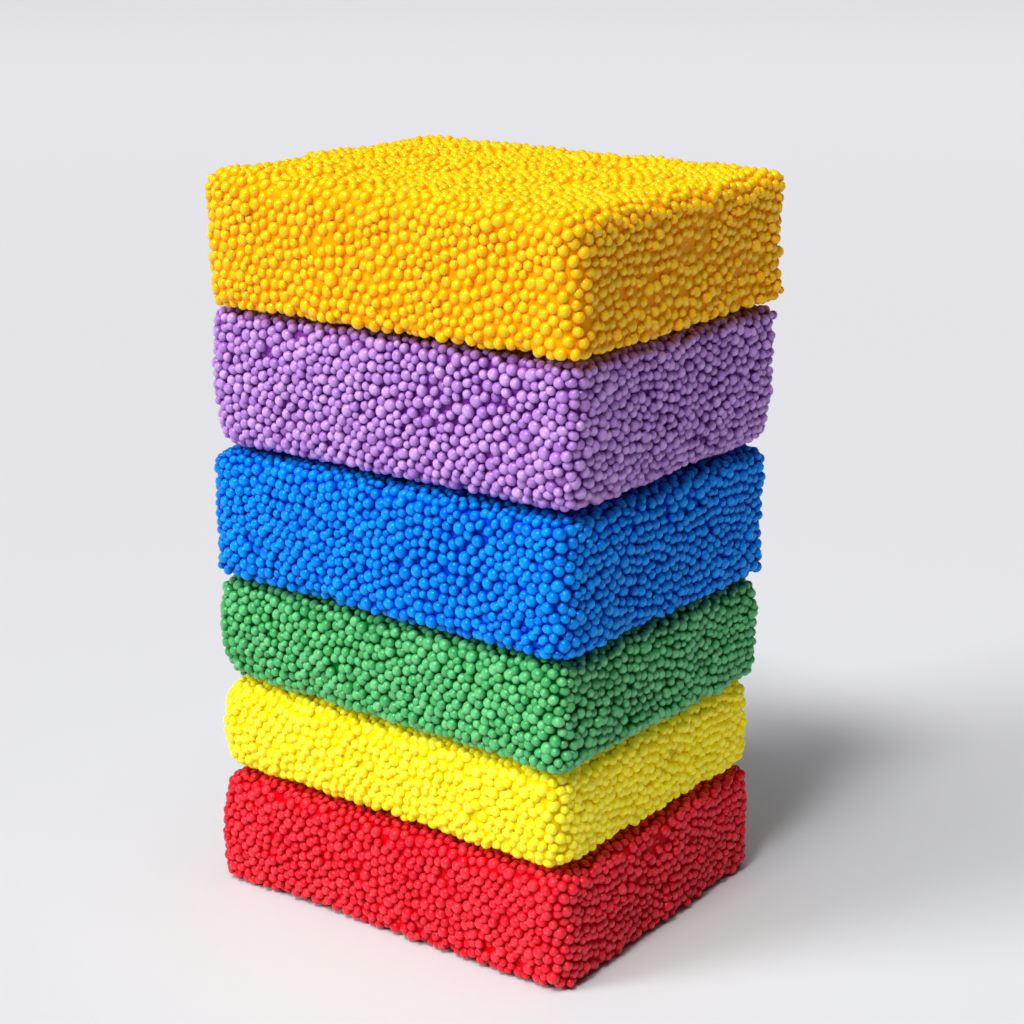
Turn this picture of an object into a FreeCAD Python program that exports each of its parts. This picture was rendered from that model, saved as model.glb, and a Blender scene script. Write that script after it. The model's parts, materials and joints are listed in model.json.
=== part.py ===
import FreeCAD, Part

import os

# A stack of six blocks of bead modelling foam: small round polystyrene beads
# held together by a tacky binder. Each block is one cohesive mass, so each is
# one plain rounded solid here, as large as the outside of its beads.
#
# Frame, in millimetres: +Z is up and the bottom face of the lowest block lies
# on Z = 0, centred on the origin. +X runs along the lowest block's long side.

# ---- driving dimensions ---------------------------------------------------
BLOCK_LENGTH = 89.5     # long side of the lowest block, along X
BLOCK_WIDTH = 71.9      # short side of the lowest block, along Y
CORNER_RADIUS = 3.9     # rounding of the four upright corners
EDGE_RADIUS = 2.3       # rounding of the rims round the top and bottom faces

# Thickness of each block.
RED_HEIGHT = 23.7
YELLOW_HEIGHT = 20.5
GREEN_HEIGHT = 22.6
BLUE_HEIGHT = 27.5
PURPLE_HEIGHT = 28.9
AMBER_HEIGHT = 27.3

# The blocks are laid on one another by hand, so each sits a little off centre
# and a little turned. Bottom to top: node, thickness, length and width as
# shares of the two sizes above, shift in X and Y, and turn about Z in degrees.
BLOCKS = [
    ("red_block", RED_HEIGHT, 1.000, 1.000, 0.00, 0.00, 0.00),
    ("yellow_block", YELLOW_HEIGHT, 0.994, 0.976, -0.35, 0.79, -1.48),
    ("green_block", GREEN_HEIGHT, 1.008, 0.985, 0.47, 0.36, -1.83),
    ("blue_block", BLUE_HEIGHT, 1.006, 0.997, 0.90, 0.26, -1.26),
    ("purple_block", PURPLE_HEIGHT, 1.012, 0.997, 1.80, 0.72, -0.75),
    ("amber_block", AMBER_HEIGHT, 1.009, 1.024, 2.31, 0.65, -0.52),
]


def foam_block(length, width, height):
    """A block standing on Z = 0 and centred on the Z axis, all edges rounded."""
    block = Part.makeBox(
        length, width, height,
        FreeCAD.Vector(-length / 2.0, -width / 2.0, 0.0),
    )
    upright = [
        edge for edge in block.Edges
        if abs(edge.Vertexes[0].Z - edge.Vertexes[1].Z) > height / 2.0
    ]
    block = block.makeFillet(CORNER_RADIUS, upright)
    rims = [
        edge for edge in block.Edges
        if abs(edge.Vertexes[0].Z - edge.Vertexes[1].Z) < 1e-6
    ]
    return block.makeFillet(EDGE_RADIUS, rims)


def stack_blocks():
    """Lay the blocks face to face from the bottom up, as (node, solid) pairs."""
    # Shifts follow the block's own size, so the stack keeps its lean when the
    # blocks are made larger or smaller.
    shift_x = BLOCK_LENGTH / 89.5
    shift_y = BLOCK_WIDTH / 71.9
    level = 0.0
    placed = []
    for node, height, length_share, width_share, dx, dy, turn in BLOCKS:
        solid = foam_block(
            BLOCK_LENGTH * length_share, BLOCK_WIDTH * width_share, height
        )
        solid.rotate(FreeCAD.Vector(0, 0, 0), FreeCAD.Vector(0, 0, 1), turn)
        solid.translate(FreeCAD.Vector(dx * shift_x, dy * shift_y, level))
        placed.append((node, solid))
        level += height
    return placed


os.makedirs("parts", exist_ok=True)
for node, solid in stack_blocks():
    solid.exportStep("parts/" + node + ".step")
    box = solid.BoundBox
    print("%-13s %6.1f x %5.1f x %5.1f mm, from Z %6.1f, volume %7.0f mm3" % (
        node, box.XLength, box.YLength, box.ZLength, box.ZMin, solid.Volume))
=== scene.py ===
# %% [markdown]
# A stack of six blocks of bead modelling foam, the soft play material made of
# thousands of small polystyrene balls in a tacky coloured binder. The frame and
# the six block shapes come from CAD. Blender adds what makes the foam what it
# is: every ball of its skin, the binder between them, and the light on them.

# %% Load the frame
import json
import math

import bpy
import numpy as np
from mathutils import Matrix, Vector


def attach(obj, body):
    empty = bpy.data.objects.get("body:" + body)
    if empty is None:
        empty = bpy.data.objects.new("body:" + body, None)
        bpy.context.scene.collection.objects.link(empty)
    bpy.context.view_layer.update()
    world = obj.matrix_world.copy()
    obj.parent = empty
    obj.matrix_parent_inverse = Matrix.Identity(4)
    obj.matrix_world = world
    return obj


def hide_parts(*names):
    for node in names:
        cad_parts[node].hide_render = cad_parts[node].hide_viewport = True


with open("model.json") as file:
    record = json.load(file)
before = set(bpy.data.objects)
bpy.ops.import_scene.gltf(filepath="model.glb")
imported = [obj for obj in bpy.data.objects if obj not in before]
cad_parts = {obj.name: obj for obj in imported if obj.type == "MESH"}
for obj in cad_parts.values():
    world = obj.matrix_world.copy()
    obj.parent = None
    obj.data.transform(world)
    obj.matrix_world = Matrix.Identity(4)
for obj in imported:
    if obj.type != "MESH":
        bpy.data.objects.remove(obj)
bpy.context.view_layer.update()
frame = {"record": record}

MM = 0.001

# %% [markdown]
# Colours are written as sRGB hex values, the way a paint chart gives them.
# Blender's shaders work in linear light, so one function converts them. One
# more small function adds a node with its settings and links, and it is all
# that the materials and the room need.


# %% Colour and node helpers
def linear(hex_colour):
    """#rrggbb to the linear RGBA that a shader socket takes."""
    values = [int(hex_colour[i:i + 2], 16) / 255 for i in (1, 3, 5)]
    return [v / 12.92 if v <= 0.04045 else ((v + 0.055) / 1.055) ** 2.4 for v in values] + [1.0]


def add_node(owner, kind, values=None, links=None, **settings):
    """Adds a node to a material or a world. Values and links go by socket name or number."""
    node = owner.node_tree.nodes.new(kind)
    for key, value in settings.items():
        setattr(node, key, value)
    for socket, value in (values or {}).items():
        node.inputs[socket].default_value = value
    for socket, source in (links or {}).items():
        owner.node_tree.links.new(source, node.inputs[socket])
    return node


def new_material(name):
    """A material with no nodes yet."""
    material = bpy.data.materials.new(name)
    material.use_nodes = True
    material.node_tree.nodes.clear()
    return material


# %% [markdown]
# The dye is in the balls and in the binder. A ball is a puffed closed-cell
# bead, a little translucent, under a thin film of binder that carries the same
# dye, so even its gloss is tinted. Where the binder pools between the balls the
# colour is deeper. Each foam has the colour of its balls, a second shade that
# some of them lean to, the colours of its binder and its gloss, its roughness,
# the average radius of a ball, the share of the skin that the balls cover, how
# far light goes inside a ball, how strongly it gives off a painted glow, how far
# below the skin the binder lies, and how much of the binder's colour a ball's
# sides take, as binder film and painted shade. Lengths are in millimetres.

# %% The six foams
# The share of the binder's colour on the balls' sides is partly binder film, partly painted
# shade.
FOAMS = {
    "red": dict(ball="#de1c34", second="#ee3a4a", binder="#d40014", gloss="#ff98a0",
                rough=0.34, radius=1.07, cover=0.77, glow=0.8, painted_glow=0.0, gel=1.35, side_film_and_shade=0.9,
                seed=11),
    # The yellow foam's glow is painted light.
    "yellow": dict(ball="#f0e41a", second="#f6ec48", binder="#f0d400", gloss="#ffffb8",
                   rough=0.36, radius=1.12, cover=0.76, glow=1.6, painted_glow=0.12, gel=1.15, side_film_and_shade=1.0,
                   seed=22),
    "green": dict(ball="#42aa60", second="#6eca86", binder="#077e2c", gloss="#e8fff0",
                  rough=0.34, radius=1.10, cover=0.79, glow=0.8, painted_glow=0.0, gel=1.7, side_film_and_shade=0.8,
                  seed=33),
    "blue": dict(ball="#0084e0", second="#0a9af2", binder="#0046ce", gloss="#60e8ff",
                 rough=0.32, radius=1.14, cover=0.79, glow=0.8, painted_glow=0.0, gel=1.7, side_film_and_shade=0.8,
                 seed=44),
    "purple": dict(ball="#b484d1", second="#d0a6e7", binder="#7e369c", gloss="#fff4ff",
                   rough=0.34, radius=1.11, cover=0.79, glow=0.8, painted_glow=0.0, gel=1.6, side_film_and_shade=0.8,
                   seed=55),
    "amber": dict(ball="#ffc008", second="#ffcc14", binder="#ffa600", gloss="#fff6a0",
                  rough=0.32, radius=1.16, cover=0.76, glow=1.8, painted_glow=0.0, gel=1.1, side_film_and_shade=1.0,
                  seed=66),
}
BLOCKS = sorted(part["node"] for part in frame["record"]["subparts"])
print("blocks", BLOCKS)

# %% [markdown]
# Each CAD block is a rounded box that was laid a little askew by hand. Its own
# length, width, height, centre and turn are measured from its mesh. The turn
# comes from its upright faces: raising their direction to the fourth power
# makes all four sides of a rectangle agree.
#
# What pressing by hand did to each block is written in millimetres: the
# rounding of its top and bottom rims, how far its left and right ends draw in
# towards the top and towards the bottom, and how far its left end swells up. A
# negative draw pushes an end out.

# %% Measure the CAD blocks
HAND = {
    "red_block": dict(rims=(3.0, 1.8), draw_top=(0.9, 0.6), draw_low=(0.4, 0.0), swell=0.0),
    "yellow_block": dict(rims=(3.6, 3.6), draw_top=(1.4, 0.1), draw_low=(1.4, 0.5), swell=0.0),
    "green_block": dict(rims=(3.4, 3.2), draw_top=(1.5, 0.9), draw_low=(2.6, 0.0), swell=0.0),
    "blue_block": dict(rims=(3.4, 2.8), draw_top=(0.8, 0.0), draw_low=(0.2, -0.3), swell=0.0),
    "purple_block": dict(rims=(2.8, 3.8), draw_top=(0.6, 0.0), draw_low=(1.8, 2.0), swell=0.0),
    "amber_block": dict(rims=(4.2, 2.2), draw_top=(0.4, -0.8), draw_low=(0.7, -0.4), swell=0.7),
}


def measure(node):
    """Centre, half size and axes of a CAD block, with what the hand did to it."""
    mesh = bpy.data.objects[node].data
    co = np.array([v.co for v in mesh.vertices])
    facing = np.array([(p.normal.x, p.normal.y, p.area) for p in mesh.polygons])
    turn = np.angle((facing[:, 2] * (facing[:, 0] + 1j * facing[:, 1]) ** 4).sum()) / 4
    c, s = math.cos(turn), math.sin(turn)
    axes = np.array([(c, s, 0.0), (-s, c, 0.0), (0.0, 0.0, 1.0)])
    along = co @ axes.T
    low, high = along.min(0), along.max(0)
    return dict(centre=(low + high) / 2 @ axes, half=(high - low) / 2, axes=axes, **HAND[node])


FORMS = {node: measure(node) for node in BLOCKS}
for node, form in FORMS.items():
    print(node, "size", np.round(form["half"] * 2 / MM, 1), "mm, turned",
          round(math.degrees(math.atan2(form["axes"][0, 1], form["axes"][0, 0])), 2), "degrees")

# %% [markdown]
# To put a ball at exactly its own radius below the skin, the script has to know
# how far any point lies outside the block and which way is out. The distance to
# a rounded box is easy to write down. The hand-pressed shape is not, so a point
# is first moved to where it would be in a true rounded box.

# %% Distance to a rounded block
CORNER = 4.6 * MM     # rounding of the upright corners
DRAW_CURVE = 2.2      # the higher it is, the nearer to the rims an end draws in


def straighten(p, form):
    """Moves points of the hand-pressed block to their places in a true rounded box."""
    half = form["half"]
    t = np.clip(p[:, 2] / half[2], -1, 1)
    right = np.clip(p[:, 0] / half[0] * 0.5 + 0.5, 0, 1)
    top = form["draw_top"][0] * (1 - right) + form["draw_top"][1] * right
    low = form["draw_low"][0] * (1 - right) + form["draw_low"][1] * right
    draw = np.where(t > 0, top, low) * np.abs(t) ** DRAW_CURVE * MM
    q = p.copy()
    q[:, :2] *= half[:2] / (half[:2] - draw[:, None])
    q[:, 2] -= form["swell"] * MM * (1 - right) ** 2 * np.maximum(t, 0)
    return q


def outside(p, form):
    """Distance of points outside a block (negative inside), and the way out."""
    half = form["half"]
    p = straighten(p, form)
    rim = np.where(p[:, 2] > 0, form["rims"][0], form["rims"][1]) * MM
    q = np.abs(p[:, :2]) - (half[:2] - CORNER)
    past = np.maximum(q, 0.0)
    reach = np.linalg.norm(past, axis=1)
    flat = np.zeros_like(past)
    flat[np.arange(len(p)), q.argmax(1)] = 1.0
    way = np.where(reach[:, None] > 0, past / np.maximum(reach, 1e-12)[:, None], flat)
    way = way * np.where(p[:, :2] < 0, -1.0, 1.0)
    wall = reach + np.minimum(q.max(1), 0.0) - CORNER + rim
    cap = np.abs(p[:, 2]) - half[2] + rim
    a, b = np.maximum(wall, 0.0), np.maximum(cap, 0.0)
    both = np.hypot(a, b)
    inside = both == 0
    a, b = np.where(inside, wall >= cap, a), np.where(inside, wall < cap, b)
    size = np.hypot(a, b)[:, None]
    up = np.where(p[:, 2] < 0, -1.0, 1.0)
    normal = np.column_stack([way * a[:, None], up * b]) / size
    return both + np.minimum(np.maximum(wall, cap), 0.0) - rim, normal


# %% [markdown]
# Thousands of balls push on their neighbours, so all pairs that lie close
# together are found at once by sorting the points into small cells.


# %% Find neighbours
def neighbours(p, reach):
    """Index pairs of points that are closer than reach."""
    cell = np.floor((p - p.min(0)) / reach).astype(np.int64) + 1
    span = cell.max(0) + 2
    key = (cell[:, 0] * span[1] + cell[:, 1]) * span[2] + cell[:, 2]
    order = np.argsort(key, kind="stable")
    ranked = key[order]
    first, second = [], []
    steps = [(x, y, z) for x in (0, 1) for y in (-1, 0, 1) for z in (-1, 0, 1)]
    for dx, dy, dz in [step for step in steps if step >= (0, 0, 0)]:
        wanted = key + (dx * span[1] + dy) * span[2] + dz
        start, end = (np.searchsorted(ranked, wanted, side) for side in ("left", "right"))
        for k in range(int((end - start).max())):
            a = np.flatnonzero(start + k < end)
            b = order[start[a] + k]
            if (dx, dy, dz) == (0, 0, 0):
                a, b = a[a < b], b[a < b]
            near = ((p[a] - p[b]) ** 2).sum(1) < reach * reach
            first.append(a[near])
            second.append(b[near])
    return np.concatenate(first), np.concatenate(second)


# %% [markdown]
# The balls pack the way they do in a hand: poured on at random, then pushed
# apart until a film of binder fits between them, each held at its own depth.
# They differ in size because they are sieved and not machined. The block was
# pressed by hand, so its skin rises and dips by a few tenths of a millimetre
# over a centimetre or two, and here and there a ball stands proud or is lost.

# %% Pack the balls
SPREAD = 0.13         # how much a ball's radius varies, as a share of the average
SIEVE = 0.66, 1.20    # smallest and largest ball, as shares of the average
ROOM = 1.02           # distance kept between two balls, as a share of touching
DENT = 0.55 * MM      # how far the skin dips
SWELL = 0.45 * MM     # how far the walls stand out, before the dips
WAVES = 7             # slow waves that add up to the dips
WAVE_LENGTH = 11, 26  # shortest and longest of them, in millimetres
TURN = 6.28           # a full turn in radians
LOOSE, SET = 0.24, 0.07      # spread of how deep balls sit, and its high end, in millimetres
PROUD, LOST = 0.05, 0.006    # share of the balls that stand proud, or fell out
PROUD_BY = 0.1, 0.5          # how far they stand proud, in millimetres
LEVEL = 0.8           # where the skin faces up or down this much, none stands proud
STEPS = 60


def dents(rng):
    """Returns a function for the slow rise and dip of a hand-pressed skin, 0 to 1."""
    waves = [(rng.normal(size=3), rng.uniform(*WAVE_LENGTH) * MM, rng.uniform(0, TURN))
             for _ in range(WAVES)]
    waves = [(w / np.linalg.norm(w) * TURN / length, phase) for w, length, phase in waves]
    return lambda q: 0.5 + 0.5 * np.tanh(sum(np.sin(q @ w + phase) for w, phase in waves) / 2.2)


def depth(p, out, skin):
    """How far the dented skin lies inside the block's true shape. Only walls swell."""
    return DENT * skin(p) - SWELL * np.clip(1.6 - 2.0 * np.abs(out[:, 2]), 0, 1)


def scatter(half, count, rng):
    """Random points spread evenly over the six sides of a box."""
    sides = np.array([half[1] * half[2], half[0] * half[2], half[0] * half[1]])
    p = rng.uniform(-1, 1, (count, 3)) * half
    face = rng.choice(3, count, p=sides / sides.sum())
    p[np.arange(count), face] = np.sign(p[np.arange(count), face]) * half[face]
    return p


def pack(form, foam, skin, rng):
    """Centres and radii of the outer balls."""
    half, average = form["half"], foam["radius"] * MM
    area = 8 * (half[1] * half[2] + half[0] * half[2] + half[0] * half[1])
    count = int(foam["cover"] * area / (math.pi * average ** 2 * (1 + SPREAD ** 2)))
    r = average * np.clip(rng.normal(1, SPREAD, count), *SIEVE)
    p = scatter(half, count, rng)
    loose = (np.abs(rng.normal(0, LOOSE, count)) - SET) * MM
    proud = rng.random(count) < PROUD
    loose[proud] = -rng.uniform(*PROUD_BY, proud.sum()) * MM
    for step in range(STEPS):
        if step % 3 == 0:
            a, b = neighbours(p, 2.6 * average)
        away = p[a] - p[b]
        apart = np.maximum(np.linalg.norm(away, axis=1), 1e-9)
        push = np.maximum((r[a] + r[b]) * ROOM - apart, 0.0) * 0.5
        move = away * (push / apart)[:, None]
        for axis in range(3):
            gain, loss = (np.bincount(i, move[:, axis], count) for i in (a, b))
            p[:, axis] += gain - loss
        dist, out = outside(p, form)
        level = np.where(np.abs(out[:, 2]) > LEVEL, np.maximum(loose, 0.0), loose)
        p -= out * (dist + r + level + depth(p, out, skin))[:, None]
    keep = rng.random(count) > LOST
    return p[keep], r[keep]


# %% [markdown]
# Between the outer balls the next layer shows. A second set of balls is
# scattered a little deeper, and each is kept only where it has room between the
# outer balls and the others of its own layer.

# %% Fill the gaps
UNDER_DEPTH = 1.95 * MM                          # of a ball's centre
UNDER_LEAST, UNDER_MOST = 0.62 * MM, 1.05 * MM   # radii
UNDER_TRIES = 6                                  # places tried for each outer ball
UNDER_REACH = 2.4 * MM                           # how far off an outer ball still matters
UNDER_OVERLAP = 0.97, 0.95    # share of touching kept from outer balls, and from each other


def fill_gaps(p, r, form, skin, rng):
    """Centres and radii of the balls that fit between the outer balls, p and r."""
    q = scatter(form["half"], len(p) * UNDER_TRIES, rng)
    for _ in range(3):
        dist, out = outside(q, form)
        q -= out * (dist + UNDER_DEPTH + depth(q, out, skin))[:, None]
    a, b = neighbours(np.concatenate([p, q]), UNDER_REACH)
    mixed = (a < len(p)) != (b < len(p))
    ball, gap = np.minimum(a, b)[mixed], np.maximum(a, b)[mixed] - len(p)
    room = np.full(len(q), UNDER_MOST)
    free = np.linalg.norm(p[ball] - q[gap], axis=1) - UNDER_OVERLAP[0] * r[ball]
    np.minimum.at(room, gap, free)
    fits = room > UNDER_LEAST
    q, room = q[fits], room[fits]
    a, b = neighbours(q, 2 * UNDER_MOST)
    clash = np.linalg.norm(q[a] - q[b], axis=1) < UNDER_OVERLAP[1] * (room[a] + room[b])
    keep = np.ones(len(q), bool)
    for i, j in zip(a[clash], b[clash]):
        if keep[i] and keep[j]:
            keep[i if room[i] < room[j] else j] = False
    return q[keep], room[keep]


# %% [markdown]
# One ball is modelled and every other is a copy of it. It starts as a small
# icosphere. Its lowest points can't be seen, so they are gathered into one foot
# that sits in the binder: 70 faces, closed, round where it shows. The balls
# between two blocks only show when a block is lifted, and those of the second
# layer are half hidden, so they are copies of a plainer ball.


# %% Model the balls
FOOT, PLAIN_FOOT = -0.8, -0.1     # points of a ball below this height go into its foot


def model_ball(name, fine):
    """Points and faces of one ball of radius 1, its foot at the bottom."""
    bpy.ops.object.select_all(action="DESELECT")
    if fine:
        bpy.ops.mesh.primitive_ico_sphere_add(subdivisions=2, radius=1.0, location=(0, 0, 0))
    else:
        bpy.ops.mesh.primitive_uv_sphere_add(segments=7, ring_count=5, radius=1.0,
                                             location=(0, 0, 0))
    ball = bpy.context.object
    bpy.ops.object.mode_set(mode="EDIT")
    bpy.ops.mesh.select_mode(type="VERT")
    bpy.ops.mesh.select_all(action="DESELECT")
    bpy.ops.object.mode_set(mode="OBJECT")
    for vertex in ball.data.vertices:
        vertex.select = vertex.co.z < (FOOT if fine else PLAIN_FOOT)
    bpy.ops.object.mode_set(mode="EDIT")
    bpy.ops.mesh.merge(type="CENTER")
    bpy.ops.mesh.select_all(action="SELECT")
    bpy.ops.mesh.quads_convert_to_tris()
    bpy.ops.mesh.normals_make_consistent(inside=False)
    bpy.ops.object.mode_set(mode="OBJECT")
    co = np.array([v.co for v in ball.data.vertices])
    faces = np.array([tuple(p.vertices) for p in ball.data.polygons])
    bpy.data.objects.remove(ball)
    print(name, len(co), "points,", len(faces), "faces")
    return co, faces


FINE_BALL = model_ball("fine ball", True)
PLAIN_BALL = model_ball("plain ball", False)

# %% [markdown]
# Each ball gets one small cell of the map that the export bakes colours into.
# The ball is laid out from above, its foot opened out like a star.


# %% Lay out a ball's map
UPPER, LOWER, STAR = 0.34, 0.2, 0.48     # reach of the halves and of the foot, in cells


def ball_map(ball, count):
    """Map corners of count balls, each in its own cell of a square grid."""
    co, faces = ball
    tilt = np.arccos(np.clip(co[:, 2], -1, 1)) / (math.pi / 2)
    flat = co[:, :2] / np.maximum(np.linalg.norm(co[:, :2], axis=1), 1e-9)[:, None]
    reach = UPPER * np.minimum(tilt, 1) + LOWER * np.maximum(tilt - 1, 0)
    place = flat * np.where(tilt > 0.01, reach, 0.0)[:, None]
    foot = int(co[:, 2].argmin())
    uv = place[faces]
    for f, face in enumerate(faces):
        if foot in face:
            middle = sum(place[v] for v in face if v != foot) / 2
            uv[f, list(face).index(foot)] = middle / np.linalg.norm(middle) * STAR
    grid = math.ceil(math.sqrt(count))
    cell = np.column_stack([np.arange(count) % grid, np.arange(count) // grid])
    return (uv[None] + 0.5 + cell[:, None, None]) / grid


# %% [markdown]
# To copy the ball, its points are scaled, tilted to the skin and moved for all
# the balls of a piece at once, because thousands of separate objects would be
# slow. Each copy is turned at random and is a few per cent out of round. Three
# numbers ride along with it for the material: its own shade, how high each
# point is above the foot, and how deep the ball sits.


# %% Copy the ball
OUT_OF_ROUND = 0.07     # share of its radius by which a ball is stretched, on average


def stamp(name, ball, p, r, out, sunk, form, rng):
    """One piece made of copies of a ball, at centres p with radii r."""
    co, faces = ball
    n, k = len(p), len(co)
    side = np.cross(out, rng.normal(size=(n, 3)))
    side /= np.linalg.norm(side, axis=1)[:, None]
    other = np.cross(out, side)
    stretch = r[:, None] * (1 + rng.normal(0, OUT_OF_ROUND, (n, 3)))
    points = p[:, None] + sum(co[None, :, axis, None] * (stretch[:, axis, None] * way)[:, None]
                              for axis, way in enumerate((side, other, out)))
    points = points.reshape(-1, 3) @ form["axes"] + form["centre"]
    corner = (faces[None] + np.arange(n)[:, None, None] * k).reshape(-1)
    mesh = bpy.data.meshes.new(name)
    mesh.vertices.add(n * k)
    mesh.vertices.foreach_set("co", points.reshape(-1))
    mesh.loops.add(len(corner))
    mesh.loops.foreach_set("vertex_index", corner)
    mesh.polygons.add(len(corner) // 3)
    mesh.polygons.foreach_set("loop_start", np.arange(0, len(corner), 3))
    mesh.update(calc_edges=True)
    mesh.polygons.foreach_set("use_smooth", np.ones(len(corner) // 3, bool))
    rise = (co[:, 2] + 1) / 2
    for label, values in (("shade", np.repeat(rng.random(n), k)), ("rise", np.tile(rise, n)),
                          ("sunk", np.repeat(sunk, k))):
        mesh.attributes.new(label, "FLOAT", "POINT").data.foreach_set("value", values)
    mesh.uv_layers.new(name="OFBake").data.foreach_set("uv", ball_map(ball, n).reshape(-1))
    piece = bpy.data.objects.new(name, mesh)
    bpy.context.scene.collection.objects.link(piece)
    return piece


# %% [markdown]
# Under the balls lies the mass of the block, seen only as the coloured binder
# in the gaps. It starts as a cube, is subdivided in edit mode and shrunk onto
# the same dented skin, below it by the depth that its foam gives.

# %% Model the binder
CUTS = 39     # cells of about 2 mm


def model_binder(name, form, foam, skin):
    """The binder's surface, a closed box that follows the dented skin from below."""
    bpy.ops.object.select_all(action="DESELECT")
    bpy.ops.mesh.primitive_cube_add(size=2.0, location=(0, 0, 0))
    binder = bpy.context.object
    binder.name = binder.data.name = name
    bpy.ops.object.mode_set(mode="EDIT")
    bpy.ops.mesh.select_all(action="SELECT")
    bpy.ops.mesh.subdivide(number_cuts=CUTS)
    bpy.ops.object.mode_set(mode="OBJECT")
    p = np.array([v.co for v in binder.data.vertices]) * form["half"]
    for _ in range(4):
        dist, out = outside(p, form)
        p -= out * (dist + foam["gel"] * MM + depth(p, out, skin))[:, None]
    binder.data.vertices.foreach_set("co", (p @ form["axes"] + form["centre"]).reshape(-1))
    binder.data.polygons.foreach_set("use_smooth", np.ones(len(binder.data.polygons), bool))
    binder.data.update()
    return binder


# %% [markdown]
# The ball is expanded polystyrene, puffed in steam and wetted by the binder.
# Its base colour runs from the binder's colour at the foot to the ball's own at
# the crown, partly for the binder film and partly as painted shade on its sides,
# and balls that sit lower take more of the binder's colour as painted shade. It
# leans to a second shade from ball to ball. Light goes in at the crown and comes
# out at the sides, which subsurface scattering does.
# The yellow foam gives off a little yellow light of its own, a painted glow that
# keeps its shaded side bright. Polystyrene's index of refraction is near 1.55,
# and the binder's near 1.48.


# %% Puffed balls
def puffed_ball(name, foam):
    m = new_material(name)
    shade = add_node(m, "ShaderNodeAttribute", attribute_name="shade")
    rise = add_node(m, "ShaderNodeAttribute", attribute_name="rise")
    sunk = add_node(m, "ShaderNodeAttribute", attribute_name="sunk")
    body = add_node(m, "ShaderNodeMix", {6: linear(foam["ball"]), 7: linear(foam["second"])},
                    {0: shade.outputs["Fac"]}, data_type="RGBA")
    # Painted shade: towards its foot a ball's sides take the binder's colour, partly as binder
    # film.
    foot_film_and_shade = add_node(m, "ShaderNodeMapRange",
                    {"From Min": 0.98, "From Max": 0.46, "To Max": foam["side_film_and_shade"]},
                    {0: rise.outputs["Fac"]})
    # Painted shade: balls that sit lower take more of the binder's colour.
    deep = add_node(m, "ShaderNodeMath", {1: 0.9}, {0: sunk.outputs["Fac"]},
                    operation="MULTIPLY")
    mixed = add_node(m, "ShaderNodeMath", {}, {0: foot_film_and_shade.outputs[0], 1: deep.outputs[0]},
                     operation="MAXIMUM")
    colour = add_node(m, "ShaderNodeMix", {7: linear(foam["binder"])},
                      {0: mixed.outputs[0], 6: body.outputs[2]}, data_type="RGBA")
    # Its emission is a painted glow, given only to the yellow foam.
    ball = add_node(m, "ShaderNodeBsdfPrincipled", {
        "Roughness": foam["rough"], "IOR": 1.55, "Specular IOR Level": 0.9,
        "Specular Tint": linear(foam["gloss"]), "Subsurface Weight": 0.7,
        "Subsurface Radius": linear(foam["ball"])[:3], "Subsurface Scale": foam["glow"] * MM,
        "Emission Color": linear(foam["ball"]), "Emission Strength": foam["painted_glow"]},
        {"Base Color": colour.outputs[2]})
    add_node(m, "ShaderNodeOutputMaterial", {}, {0: ball.outputs[0]})
    return m


# %% [markdown]
# The binder is a dyed gel, poured in and never smoothed, so it is uneven in
# depth and shade over a millimetre or two. It is tacky and takes a dull gloss.

# %% Tacky binder
CLOUD = 450.0     # noise cells per metre, about 2 mm each
SHADOW = 0.8      # brightness of its darker patches


def tacky_binder(name, foam):
    m = new_material(name)
    place = add_node(m, "ShaderNodeTexCoord")
    cloud = add_node(m, "ShaderNodeTexNoise", {"Scale": CLOUD, "Detail": 3.0},
                     {0: place.outputs["Object"]})
    dark = [c * SHADOW for c in linear(foam["binder"])[:3]] + [1.0]
    colour = add_node(m, "ShaderNodeMix", {6: dark, 7: linear(foam["binder"])},
                      {0: cloud.outputs["Fac"]}, data_type="RGBA")
    gel = add_node(m, "ShaderNodeBsdfPrincipled", {
        "Roughness": 0.55, "IOR": 1.48, "Specular IOR Level": 0.15,
        "Specular Tint": linear(foam["gloss"])}, {"Base Color": colour.outputs[2]})
    add_node(m, "ShaderNodeOutputMaterial", {}, {0: gel.outputs[0]})
    return m


# %% [markdown]
# Now the blocks are made one after another. The outer balls of a block's walls
# and rims are one piece, those on its flat top and bottom are another, and the
# second layer is a third. The topmost block's upper face shows, so its balls
# are a piece of their own. Each piece rides on its own body and stands for its
# block.

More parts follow.
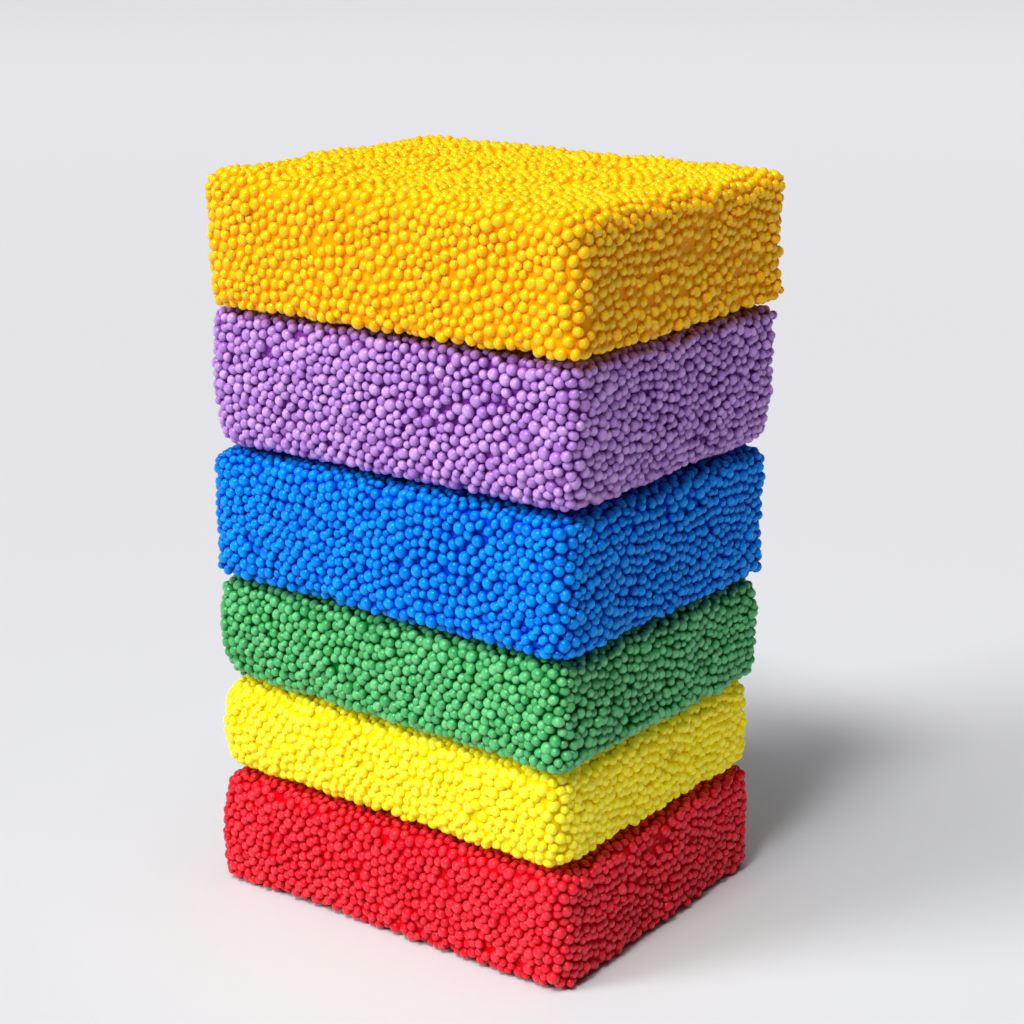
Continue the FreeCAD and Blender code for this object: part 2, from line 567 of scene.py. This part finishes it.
# %% Build the blocks
TOP_NODE = max(BLOCKS, key=lambda node: FORMS[node]["centre"][2])
FLAT_EDGE = 3.2 * MM     # a face's flat part starts this far in from its sides
FLAT = 0.98              # and faces up or down at least this much
total = 0
for node in BLOCKS:
    colour = node.split("_")[0]
    foam, form = FOAMS[colour], FORMS[node]
    rng = np.random.default_rng(foam["seed"])
    skin = dents(rng)
    p, r = pack(form, foam, skin, rng)
    q, s = fill_gaps(p, r, form, skin, rng)
    layer = np.repeat([0, 1], [len(p), len(q)])
    p, r = np.concatenate([p, q]), np.concatenate([r, s])
    dist, out = outside(p, form)
    sunk = np.clip((-dist - r - depth(p, out, skin)) / MM, 0, 1)
    flat = np.abs(out[:, 2]) > FLAT
    flat &= (np.abs(p[:, :2]) < form["half"][:2] - FLAT_EDGE).all(1)
    upper = flat & (p[:, 2] > 0) & (node == TOP_NODE)
    groups = {"wall": (FINE_BALL, ~flat & (layer == 0)), "face": (PLAIN_BALL, flat & ~upper),
              "top": (FINE_BALL, upper), "under": (PLAIN_BALL, ~flat & (layer == 1))}
    pieces = [stamp(colour + "_" + label + "_balls", ball, p[g], r[g], out[g], sunk[g], form, rng)
              for label, (ball, g) in groups.items() if g.any()]
    balls = puffed_ball(colour + "_puffed_polystyrene", foam)
    for piece in pieces:
        piece.data.materials.append(balls)
    pieces.append(model_binder(colour + "_binder", form, foam, skin))
    pieces[-1].data.materials.append(tacky_binder(colour + "_tacky_binder", foam))
    for piece in pieces:
        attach(piece, colour)
        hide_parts(node)
    triangles = [sum(len(f.vertices) - 2 for f in piece.data.polygons) for piece in pieces]
    total += sum(triangles)
    print(node, len(p), "balls,", (layer == 1).sum(), "of them under, triangles", triangles)
print("whole stack", total, "triangles")

# %% [markdown]
# The stack stands on plain pale card in a small studio. The card is large. Its
# grey shifts a little with distance, which stands for lamps that don't light
# all of it alike.


# %% Floor and backdrop
CARD_SIZE = 20.0      # metres
CARD_DROP = 0.0001    # metres below the lowest block, so that the two don't share a plane
CARD_REACH = 4.0      # metres over which its shade shifts
CARD = [(0.12, "#c6c7ca"), (0.5, "#c2c1c6"), (1.8, "#cecdd1"), (3.6, "#c0bfc4")]   # metres, shade


def studio_card():
    """Pale grey card with a dull surface, its grey shifting with distance as painted shade."""
    m = new_material("pale_card")
    place = add_node(m, "ShaderNodeTexCoord")
    away = add_node(m, "ShaderNodeVectorMath", {}, {0: place.outputs["Object"]},
                    operation="LENGTH")
    cloud = add_node(m, "ShaderNodeTexNoise", {"Scale": 3.0, "Detail": 2.0},
                     {0: place.outputs["Object"]})
    uneven = add_node(m, "ShaderNodeMath", {1: 0.1},
                      {0: cloud.outputs["Fac"], 2: away.outputs["Value"]},
                      operation="MULTIPLY_ADD")
    share = add_node(m, "ShaderNodeMath", {1: CARD_REACH}, {0: uneven.outputs[0]},
                     operation="DIVIDE")
    colour = add_node(m, "ShaderNodeValToRGB", {}, {0: share.outputs[0]})
    colour.color_ramp.interpolation = "B_SPLINE"
    stops = colour.color_ramp.elements
    for stop, (metres, shade) in zip(stops, (CARD[0], CARD[-1])):
        stop.position, stop.color = metres / CARD_REACH, linear(shade)
    for metres, shade in CARD[1:-1]:
        stops.new(metres / CARD_REACH).color = linear(shade)
    card = add_node(m, "ShaderNodeBsdfPrincipled",
                    {"Roughness": 0.6, "Specular IOR Level": 0.25},
                    {"Base Color": colour.outputs[0]})
    add_node(m, "ShaderNodeOutputMaterial", {}, {0: card.outputs[0]})
    return m


bpy.ops.object.select_all(action="DESELECT")
bpy.ops.mesh.primitive_plane_add(size=CARD_SIZE, location=(0, 0, -CARD_DROP))
card = bpy.context.object
card.name = "studio_floor"
card.data.materials.append(studio_card())
print("floor", CARD_SIZE, "m wide")

# %% [markdown]
# The light is soft and comes mostly from the left: a tall window, low enough to
# throw a shadow to the right, a second one above it, and a pale ceiling. They
# are matt, so they leave no gleam. A smaller lamp, high up and a little to the
# left of the camera, puts a small gleam on every ball. The short side falls
# into shade. The room sends back only a little light. Its far wall is there for
# the camera alone: it looks as pale as the floor and lights nothing.


# %% Lights
def soft_sun(name, travel, height, spread, strength, gleam=True):
    """A far soft light. travel is the way it shines, in degrees from +X seen from above."""
    lamp = bpy.data.lights.new(name, "SUN")
    lamp.energy, lamp.angle = strength, math.radians(spread)
    holder = bpy.data.objects.new(name, lamp)
    a, h = math.radians(travel), math.radians(height)
    shine = Vector((math.cos(a) * math.cos(h), math.sin(a) * math.cos(h), -math.sin(h)))
    holder.rotation_euler = shine.to_track_quat("-Z", "Y").to_euler()
    holder.visible_glossy = gleam
    bpy.context.scene.collection.objects.link(holder)
    print(name, "shines at a height of", height, "degrees, strength", strength)


soft_sun("low_window", 55, 29, 24, 2.45, gleam=False)
soft_sun("high_window", 74, 60, 30, 0.90, gleam=False)
soft_sun("front_lamp", 95, 58, 13, 1.92)
soft_sun("ceiling", 140, 83, 40, 0.95, gleam=False)

AIR = 0.055     # brightness of what the room sends back
world = bpy.data.worlds.new("pale_room")
bpy.context.scene.world = world
world.use_nodes = True
world.node_tree.nodes.clear()
air = add_node(world, "ShaderNodeBackground", {"Color": linear("#f2f1f8"), "Strength": AIR})
wall = add_node(world, "ShaderNodeBackground", {"Color": linear("#e4e4e9"), "Strength": 1.0})
seen = add_node(world, "ShaderNodeLightPath")
room = add_node(world, "ShaderNodeMixShader", {},
                {0: seen.outputs["Is Camera Ray"], 1: air.outputs[0], 2: wall.outputs[0]})
add_node(world, "ShaderNodeOutputWorld", {}, {0: room.outputs[0]})
bpy.context.scene.view_settings.view_transform = "Standard"

# %% [markdown]
# The camera stands about 44 cm away, a little above the stack's middle, with a
# short telephoto lens, so the upright edges draw together only slightly.

# %% Camera
AZIMUTH, ELEVATION = math.radians(35.92), math.radians(16.72)
DISTANCE = 443.8 * MM
back = Vector((math.sin(AZIMUTH) * math.cos(ELEVATION),
               -math.cos(AZIMUTH) * math.cos(ELEVATION), math.sin(ELEVATION)))
camera = bpy.data.objects.new("camera", bpy.data.cameras.new("camera"))
bpy.context.scene.collection.objects.link(camera)
camera.data.sensor_width = 36.0
camera.data.lens = 76.5
aim = Vector((4.59, 3.16, 80.09)) * MM
camera.location = aim + back * DISTANCE
camera.rotation_euler = (-back).to_track_quat("-Z", "Y").to_euler()
bpy.context.scene.camera = camera
print("camera at", [round(v / MM, 1) for v in camera.location], "mm")
